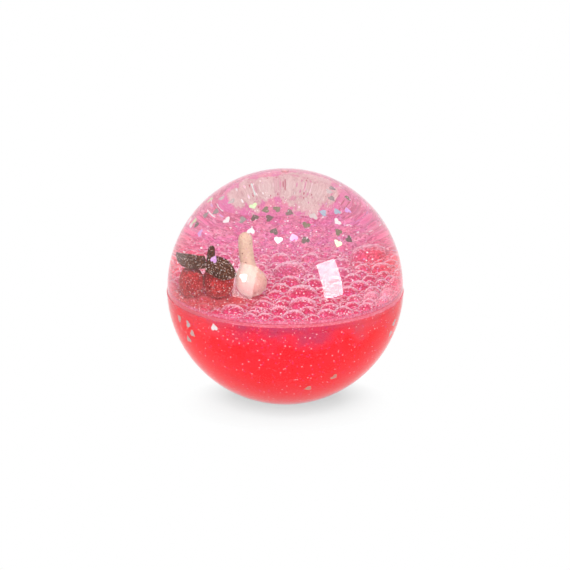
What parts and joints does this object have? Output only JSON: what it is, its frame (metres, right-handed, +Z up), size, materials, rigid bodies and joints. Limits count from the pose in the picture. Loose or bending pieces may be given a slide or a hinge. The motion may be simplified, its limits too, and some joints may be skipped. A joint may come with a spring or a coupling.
{
  "type": "water ball",
  "caption": "Clear vinyl water ball with red water, clear oil, a layer of bubbles, floating cherry and pear figures and heart confetti inside.",
  "frame": {"origin": "centre of the ball's flattened foot, on the surface it rests on", "axes": "+Z up through the fill plug, -Y towards the viewer of the picture, +X to the viewer's right"},
  "size_m": [0.065, 0.065, 0.0644],
  "materials": {
    "clear_vinyl": "clear glossy soft vinyl with a faint pink tint",
    "seam_glue": "glossy set glue",
    "fill_plug": "glossy soft plug",
    "red_water": "red dyed water with fine glitter",
    "foam": "wet pink bubbles with fine glitter",
    "cherry": "smooth red soft plastic",
    "leaf": "brown soft plastic with glitter stuck to it",
    "pear": "peach coloured soft plastic",
    "heart_foil": "thin iridescent film"
  },
  "bodies": {
    "liquid": {"red_water": "red_water"},
    "shell": {"upper_shell": "clear_vinyl", "lower_shell": "clear_vinyl", "seam_glue": "seam_glue", "fill_plug": "fill_plug"},
    "foam": {"foam_layer": "foam"},
    "cherries": {"cherry_left": "cherry", "cherry_right": "cherry", "cherry_stem": "leaf", "leaf_left": "leaf", "leaf_right": "leaf"},
    "pear_figure": {"pear": "pear"},
    "confetti": {"heart_01": "heart_foil", "heart_02": "heart_foil", "heart_03": "heart_foil", "heart_04": "heart_foil", "heart_05": "heart_foil", "heart_06": "heart_foil", "heart_07": "heart_foil", "heart_08": "heart_foil", "heart_09": "heart_foil", "heart_10": "heart_foil", "heart_11": "heart_foil", "heart_12": "heart_foil", "heart_13": "heart_foil", "heart_14": "heart_foil", "heart_15": "heart_foil", "heart_16": "heart_foil", "heart_17": "heart_foil", "heart_18": "heart_foil", "heart_19": "heart_foil", "heart_20": "heart_foil", "heart_21": "heart_foil", "heart_22": "heart_foil", "heart_23": "heart_foil", "heart_24": "heart_foil", "heart_25": "heart_foil", "heart_26": "heart_foil", "heart_27": "heart_foil", "heart_28": "heart_foil", "heart_29": "heart_foil", "heart_30": "heart_foil", "heart_31": "heart_foil", "heart_32": "heart_foil", "heart_33": "heart_foil", "heart_34": "heart_foil", "heart_35": "heart_foil", "heart_36": "heart_foil", "heart_37": "heart_foil", "heart_38": "heart_foil", "heart_39": "heart_foil", "heart_40": "heart_foil", "heart_41": "heart_foil", "heart_42": "heart_foil", "heart_43": "heart_foil", "heart_44": "heart_foil"}
  },
  "joints": [
    {"name": "shell_roll", "type": "hinge", "parent": "liquid", "child": "shell", "pos_m": [0, 0, 0.03211], "axis": [0, 1, 0], "continuous": true},
    {"name": "foam_drift", "type": "hinge", "parent": "liquid", "child": "foam", "pos_m": [0, 0, 0.03211], "axis": [0, 0, 1], "continuous": true},
    {"name": "cherries_bob", "type": "slide", "parent": "foam", "child": "cherries", "axis": [0, 0, 1], "range_m": [0, 0.002]},
    {"name": "pear_bob", "type": "slide", "parent": "foam", "child": "pear_figure", "axis": [0, 0, 1], "range_m": [0, 0.003]},
    {"name": "confetti_drift", "type": "hinge", "parent": "liquid", "child": "confetti", "pos_m": [0, 0, 0.03211], "axis": [0, 0, 1], "continuous": true}
  ]
}
